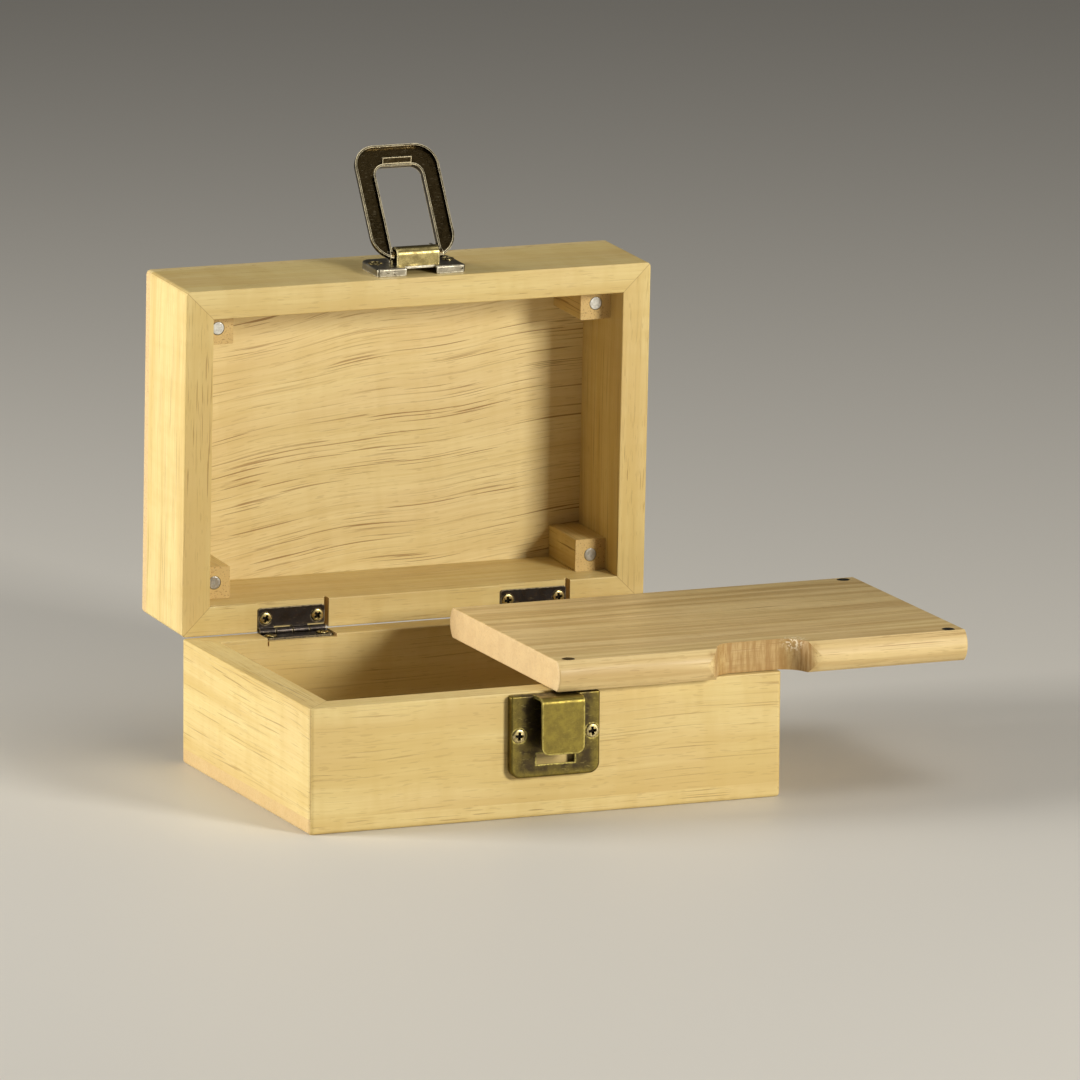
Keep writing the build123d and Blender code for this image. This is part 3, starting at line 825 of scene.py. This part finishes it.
@dataclass
class Fittings:
    """Latch, hinges and magnets, with eased and rubbed edges."""

    latch: AgedMetal = AgedMetal(
        base=(0.225, 0.175, 0.038), patina=(0.05, 0.037, 0.02), worn=(0.50, 0.42, 0.13),
        patina_share=0.4, wear_share=0.65, speckle=2.4)
    hasp: AgedMetal = AgedMetal(
        base=(0.34, 0.31, 0.24), patina=(0.13, 0.115, 0.085), worn=(0.62, 0.58, 0.47), roughness=0.28)
    knuckle: AgedMetal = AgedMetal(
        base=(0.34, 0.28, 0.12), patina=(0.13, 0.10, 0.038), worn=(0.58, 0.50, 0.27),
        roughness=0.30, speckle=2.6, patina_share=0.8)
    # the near-black base is partly painted dark reflection, and the worn rims are partly painted rim
    # highlights
    ring: AgedMetal = AgedMetal(
        base=(0.055, 0.038, 0.015), patina=(0.022, 0.016, 0.008), worn=(0.66, 0.58, 0.39),
        roughness=0.20, wear_share=1.0, rub=EVEN_RUB_AND_RIM_HIGHLIGHT)
    hinge: AgedMetal = AgedMetal(
        base=(0.05, 0.042, 0.038), patina=(0.02, 0.017, 0.015), worn=(0.34, 0.28, 0.17),
        roughness=0.30, wear_share=0.5)
    nickel: MagnetNickel = MagnetNickel()
    # a darker copy of the nickel finish for the board's discs: painted shade
    shaded_nickel: MagnetNickel = MagnetNickel(plate=(0.10, 0.095, 0.085), smear=(0.03, 0.028, 0.025))

    def build(self) -> None:
        """Builds and places every metal part but the screws."""
        latch = self.latch.material("antique_brass")
        hasp = self.hasp.material("rubbed_brass")
        knuckle = self.knuckle.material("speckled_brass")
        ring = self.ring.material("dark_ring_with_painted_rim_highlights")
        hinge = self.hinge.material("dark_bronze_hinge")
        self.part("catch_plate", latch, "box", "latch_brass", Edges(0.22, 0.6, 0.5))
        self.part("hasp_base_plate", hasp, "lid", "latch_brass", Edges(0.2, 0.6, 0.5))
        self.part("hasp_knuckle", knuckle, "lid", "latch_brass", Edges(0.2, 0.5, 0.5))
        self.part("hasp_ring", ring, "ring", "ring_bronze", Edges(0.16, 0.5, 0.24))
        for side in ("left", "right"):
            self.part(f"{side}_hinge_box_leaf", hinge, "box", "hinge_bronze", Edges(0.08, 0.6, 0.3))
            self.part(f"{side}_hinge_lid_leaf", hinge, "lid", "hinge_bronze", Edges(0.08, 0.6, 0.3))
            self.part(f"{side}_hinge_pin", hinge, "box", "hinge_bronze", Edges(0.08, 0.8, 0.3))
        nickel = self.nickel.material("nickel_plate")
        shaded_nickel = self.shaded_nickel.material("nickel_plate_painted_shade")
        disc = Edges(0.2, 0.9, 0.3)
        for corner in CORNERS:
            self.part(f"lid_magnet_{corner}", nickel, "lid", "magnet_nickel", disc)
        # the board's discs take the darker copy of the nickel: painted shade
        for corner in ("front_left", "front_right", "back_right"):
            self.part(f"board_magnet_{corner}", shaded_nickel, "loose_board", "magnet_nickel", disc)

    def part(self, node: str, material: bpy.types.Material, body: str, slot: str, edges: Edges) -> None:
        """Builds one part from its CAD node.

        Args:
            node: The node that it replaces.
            material: Its finish.
            body: The body that carries it.
            slot: The record's material slot; not used.
            edges: How finely it is made.
        """
        mesh = refined_metal(node, edges)
        if node == "catch_plate":
            # darkens the catch plate's flat away from its outline and its tongue
            store_flat_darkening(mesh, flat=59.5, proud=63.5, rubbed=4.0)
        new_piece(f"{node}_finished", mesh, material, body, (node,))


@dataclass
class Screws:
    """Small cross-headed wood screws, one pattern repeated at every hole. Its sizes are in head radii."""

    head_height: float = 0.11  # the dome over the head's edge
    dome_radius: float = 0.97
    dome_angles: tuple[float, ...] = (0.25, 0.5, 0.8, 1.1, 1.35, math.pi / 2)
    land: float = 0.06  # the head's upright edge
    cone_depth: float = 0.62
    shank: float = 0.46
    length: float = 1.7
    tip_length: float = 0.4
    arm_length: float = 0.70
    arm_width: float = 0.225
    recess_depth: float = 0.5
    mouth_share: float = 1.22  # the cross's size well above the head
    foot_share: float = 0.55  # and at its foot
    oxide_margin: float = 0.05  # the oxide stays inside the arms and this much beyond
    oxide_depth: float = 0.10  # below the dome, where it is full
    segments: int = 40
    seed: int = 7
    hinge_head: float = 2.05  # radius in millimetres
    plate_head: float = 2.25  # radius in millimetres
    families: tuple[tuple[str, str, bool], ...] = (
        ("box_hinge_screws", "box", False), ("catch_screws", "box", True),
        ("lid_hinge_screws", "lid", False), ("hasp_screws", "lid", True))

    def pattern(self) -> bpy.types.Object:
        """Makes the screw that every hole gets, one head radius across from axis to edge.

        Returns:
            The pattern object, which isn't itself linked to the scene.
        """
        mesh = bmesh.new()
        rings = []
        profile = [(math.sin(a) * self.dome_radius, self.land + self.head_height * math.cos(a))
                   for a in self.dome_angles]
        profile += [(1.0, self.land * 0.4), (1.0, 0.0), (self.shank, -self.cone_depth),
                    (self.shank, -self.length + self.tip_length)]
        for radius, height in profile:
            rings.append([mesh.verts.new((radius * math.cos(2 * math.pi * i / self.segments),
                                          radius * math.sin(2 * math.pi * i / self.segments), height))
                          for i in range(self.segments)])
        top = mesh.verts.new((0.0, 0.0, self.land + self.head_height))
        tip = mesh.verts.new((0.0, 0.0, -self.length))
        for i in range(self.segments):
            j = (i + 1) % self.segments
            mesh.faces.new((top, rings[0][i], rings[0][j]))
            for upper, lower in zip(rings, rings[1:]):
                mesh.faces.new((upper[i], lower[i], lower[j], upper[j]))
            mesh.faces.new((rings[-1][i], tip, rings[-1][j]))
        bmesh.ops.recalc_face_normals(mesh, faces=mesh.faces)
        blank = self.as_object("screw_blank", mesh)
        cutter = self.as_object("screw_cross", self.cross())
        cut = blank.modifiers.new("cross", "BOOLEAN")
        cut.operation = "DIFFERENCE"
        cut.object = cutter
        cut.solver = "EXACT"
        data = plain_mesh(blank)
        for spare in (blank, cutter):
            bpy.data.objects.remove(spare)
        recess = data.attributes.new("recess", "FLOAT", "POINT")
        for vertex in data.vertices:
            radius, height = math.hypot(vertex.co.x, vertex.co.y), vertex.co.z
            crown = 1.0 - min(1.0, radius / self.dome_radius) ** 2
            below = self.land + self.head_height * math.sqrt(max(0.0, crown)) - height
            inside = radius < self.arm_length + self.oxide_margin and height > -self.recess_depth
            recess.data[vertex.index].value = min(1.0, max(0.0, below / self.oxide_depth)) if inside else 0.0
        for polygon in data.polygons:
            polygon.use_smooth = True
        data.set_sharp_from_angle(angle=math.radians(35.0))
        return bpy.data.objects.new("screw_pattern", data)

    def cross(self) -> bmesh.types.BMesh:
        """Makes the tapered cross that is cut into the head.

        Returns:
            The closed cutter.
        """
        mesh = bmesh.new()
        layers = []
        top, foot = 0.6, -self.recess_depth + self.land + self.head_height
        for height, share in ((top, self.mouth_share), (foot, self.foot_share)):
            # the arms grow less in width than in length
            long, half = self.arm_length * share, self.arm_width * (0.55 + 0.45 * share)
            arm, outline = [(long, -half), (long, half), (half, half)], []
            for _ in range(4):
                outline += arm
                arm = [(-y, x) for x, y in arm]
            layers.append([mesh.verts.new((x, y, height)) for x, y in outline])
        count = len(layers[0])
        for i in range(count):
            j = (i + 1) % count
            mesh.faces.new((layers[0][i], layers[0][j], layers[1][j], layers[1][i]))
        mesh.faces.new(layers[0])
        mesh.faces.new(layers[1])
        bmesh.ops.recalc_face_normals(mesh, faces=mesh.faces)
        return mesh

    def as_object(self, name: str, mesh: bmesh.types.BMesh) -> bpy.types.Object:
        """Makes a linked object.

        Args:
            name: Its name.
            mesh: Its shape, which is freed.

        Returns:
            The object.
        """
        data = bpy.data.meshes.new(name)
        mesh.to_mesh(data)
        mesh.free()
        return placed(name, data)

    def holes(self, node: str) -> list[tuple[Vector, Vector]]:
        """Finds where a family's screws sit.

        Args:
            node: The CAD node that holds them.

        Returns:
            For each screw, the middle of its head's edge and the way it faces.
        """
        lid_out = Home.LID.to_piece().to_3x3().inverted()
        way = {
            "box_hinge_screws": Vector((0, 0, 1)),
            "catch_screws": Vector((0, -1, 0)),
            "lid_hinge_screws": lid_out @ Vector((0, 0, -1)),
            "hasp_screws": lid_out @ Vector((0, -1, 0)),
        }[node]
        mesh = merged_copy(node)
        left = set(mesh.verts)
        found = []
        while left:
            island, edge = set(), {next(iter(left))}
            while edge:
                island |= edge
                edge = {e.other_vert(v) for v in edge for e in v.link_edges} - island
            left -= island
            points = [v.co.copy() for v in island]
            highest = max(p.dot(way) for p in points)
            crown = [p for p in points if highest - p.dot(way) < CROWN_DEPTH]
            found.append(sum(crown, Vector()) / len(crown))
        mesh.free()
        return [(point, way) for point in sorted(found, key=lambda p: p.x)]

    def tree(self, material: bpy.types.Material) -> bpy.types.NodeTree:
        """Builds the tree that sets a screw on each point.

        Args:
            material: The screws' finish.

        Returns:
            The geometry node group.
        """
        tree = bpy.data.node_groups.new("set_screws", "GeometryNodeTree")
        inputs = {"Geometry": "Geometry", "Screw": "Object", "Seed": "Int",
                  "Hinge Head Radius": "Float", "Plate Head Radius": "Float"}
        for name, kind in inputs.items():
            tree.interface.new_socket(name, in_out="INPUT", socket_type=f"NodeSocket{kind}")
        tree.interface.new_socket("Geometry", in_out="OUTPUT", socket_type="NodeSocketGeometry")
        add, join = tree.nodes.new, tree.links.new
        start, end = add("NodeGroupInput"), add("NodeGroupOutput")
        pattern, instance = add("GeometryNodeObjectInfo"), add("GeometryNodeInstanceOnPoints")
        way, on_plate = add("GeometryNodeInputNamedAttribute"), add("GeometryNodeInputNamedAttribute")
        way.data_type, on_plate.data_type = "FLOAT_VECTOR", "BOOLEAN"
        way.inputs["Name"].default_value, on_plate.inputs["Name"].default_value = "way", "on_plate"
        size = add("GeometryNodeSwitch")
        size.input_type = "FLOAT"
        align = add("FunctionNodeAlignRotationToVector")
        align.axis = "Z"
        chance = add("FunctionNodeRandomValue")
        chance.data_type = "FLOAT"
        chance.inputs[2].default_value, chance.inputs[3].default_value = 0.0, math.pi / 2
        spin, turn = add("FunctionNodeAxisAngleToRotation"), add("FunctionNodeRotateRotation")
        turn.rotation_space = "LOCAL"
        spin.inputs["Axis"].default_value = (0.0, 0.0, 1.0)
        realize, paint = add("GeometryNodeRealizeInstances"), add("GeometryNodeSetMaterial")
        paint.inputs["Material"].default_value = material
        join(start.outputs["Screw"], pattern.inputs["Object"])
        join(start.outputs["Seed"], chance.inputs["Seed"])
        join(start.outputs["Geometry"], instance.inputs["Points"])
        join(pattern.outputs["Geometry"], instance.inputs["Instance"])
        join(way.outputs["Attribute"], align.inputs["Vector"])
        join(chance.outputs[1], spin.inputs["Angle"])
        join(align.outputs["Rotation"], turn.inputs["Rotation"])
        join(spin.outputs["Rotation"], turn.inputs["Rotate By"])
        join(turn.outputs["Rotation"], instance.inputs["Rotation"])
        join(on_plate.outputs["Attribute"], size.inputs["Switch"])
        join(start.outputs["Hinge Head Radius"], size.inputs["False"])
        join(start.outputs["Plate Head Radius"], size.inputs["True"])
        join(size.outputs["Output"], instance.inputs["Scale"])
        join(instance.outputs["Instances"], realize.inputs["Geometry"])
        join(realize.outputs["Geometry"], paint.inputs["Geometry"])
        join(paint.outputs["Geometry"], end.inputs["Geometry"])
        return tree

    def build(self) -> None:
        """Sets the screws of each body and makes them one plain mesh a body."""
        material = ScrewBrass().material("screw_brass")
        pattern = self.pattern()
        bpy.context.scene.collection.objects.link(pattern)
        tree = self.tree(material)
        items = tree.interface.items_tree
        sockets = {item.name: item.identifier for item in items if item.in_out == "INPUT"}
        for body in ("box", "lid"):
            chosen = [(node, plate) for node, home, plate in self.families if home == body]
            points, ways, plates = [], [], []
            for node, plate in chosen:
                radius = self.plate_head if plate else self.hinge_head
                for top, way in self.holes(node):
                    points.append(top - way * ((self.land + self.head_height) * radius * MM))
                    ways.append(way)
                    plates.append(plate)
            data = bpy.data.meshes.new(f"{body}_screw_points")
            data.from_pydata([tuple(p) for p in points], [], [])
            aim = data.attributes.new("way", "FLOAT_VECTOR", "POINT")
            on_plate = data.attributes.new("on_plate", "BOOLEAN", "POINT")
            for index, (way, plate) in enumerate(zip(ways, plates)):
                aim.data[index].vector = way
                on_plate.data[index].value = plate
            holder = placed(f"{body}_screws", data)
            setter = holder.modifiers.new("set_screws", "NODES")
            setter.node_group = tree
            setter[sockets["Screw"]] = pattern
            setter[sockets["Seed"]] = self.seed
            setter[sockets["Hinge Head Radius"]] = self.hinge_head * MM
            setter[sockets["Plate Head Radius"]] = self.plate_head * MM
            plain = plain_mesh(holder)
            holder.modifiers.remove(setter)
            holder.data = plain
            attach(holder, body)
            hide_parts(*(node for node, _ in chosen))
            LOG.info("made %s with %d faces", holder.name, len(plain.polygons))
        bpy.data.objects.remove(pattern)


@dataclass
class Studio:
    """A plain pale floor, soft lights and the camera. Lengths are in metres."""

    eye: Triple = (-1.3795, -3.4018, 0.8212)
    gaze: Triple = (0.37295, 0.90638, -0.19845)
    roll: float = 0.409  # degrees that the camera leans
    lens: float = 393.5
    sensor: float = 36.0
    aim: Triple = (0.02, 0.02, 0.08)
    floor_size: float = 14.0
    floor_colour: Colour = (0.72, 0.70, 0.66)
    floor_roughness: float = 0.55
    room_colour: Colour = (0.84, 0.80, 0.73)
    room_glow: float = 0.065

    def camera(self) -> None:
        """Sets up the camera that the scene is seen by."""
        data = bpy.data.cameras.new("camera")
        data.lens = self.lens
        data.sensor_width = self.sensor
        ahead = Vector(self.gaze).normalized()
        right = ahead.cross(Vector((0, 0, 1))).normalized()
        up = right.cross(ahead)
        turn = math.radians(self.roll)
        right, up = (right * math.cos(turn) + up * math.sin(turn),
                     up * math.cos(turn) - right * math.sin(turn))
        camera = placed("camera", data)
        rotation = Matrix((right, up, -ahead)).transposed().to_4x4()
        camera.matrix_world = Matrix.Translation(self.eye) @ rotation
        bpy.context.scene.camera = camera

    def floor(self) -> None:
        """Lays the floor."""
        data = bpy.data.meshes.new("floor")
        half = self.floor_size / 2
        corners = [(-half, -half, 0), (half, -half, 0), (half, half, 0), (-half, half, 0)]
        data.from_pydata(corners, [], [(0, 1, 2, 3)])
        floor = placed("floor", data)
        graph = Graph("pale_floor")
        graph.put(self.floor_colour, graph.shader.inputs["Base Color"])
        graph.put(self.floor_roughness, graph.shader.inputs["Roughness"])
        data.materials.append(graph.material)

    def lamp(self, name: str, bearing: float, height: float, distance: float, size: Span,
             power: float, colour: Colour) -> None:
        """Hangs one soft area light that faces the box.

        Args:
            name: The light's name.
            bearing: Degrees round from the front, positive to the right.
            height: Degrees above the floor.
            distance: Metres from the box.
            size: Its width and height.
            power: Its power in watts.
            colour: Its colour.
        """
        data = bpy.data.lights.new(name, "AREA")
        data.shape = "RECTANGLE"
        data.size, data.size_y = size
        data.energy = power
        data.color = colour
        lamp = placed(name, data)
        b, h = math.radians(bearing), math.radians(height)
        way = Vector((math.sin(b) * math.cos(h), -math.cos(b) * math.cos(h), math.sin(h)))
        place = Vector(self.aim) + way * distance
        lamp.matrix_world = Matrix.Translation(place) @ way.to_track_quat("Z", "Y").to_matrix().to_4x4()

    def lights(self) -> None:
        """Hangs the lights and sets the room's dim glow."""
        self.lamp("key_light", 27.0, 16.0, 1.7, (0.40, 0.40), 24.5, (1.0, 0.96, 0.87))
        self.lamp("left_light", -106.0, 14.0, 1.4, (0.5, 0.7), 23.0, (1.0, 0.97, 0.90))
        self.lamp("top_light", 50.0, 74.0, 1.5, (1.0, 0.8), 4.8, (1.0, 0.97, 0.92))
        world = bpy.data.worlds.new("room")
        world.use_nodes = True
        glow = world.node_tree.nodes["Background"]
        glow.inputs["Color"].default_value = (*self.room_colour, 1.0)
        glow.inputs["Strength"].default_value = self.room_glow
        bpy.context.scene.world = world
        bpy.context.scene.view_settings.view_transform = "Standard"

    def build(self) -> None:
        """Sets up everything around the box."""
        self.camera()
        self.floor()
        self.lights()


def main() -> None:
    """Builds the box's looks and its surroundings."""
    logging.basicConfig(level=logging.INFO, format="%(message)s")
    Studio().build()
    Carpentry().dress_all()
    Fittings().build()
    Screws().build()


if __name__ == "__main__":
    main()
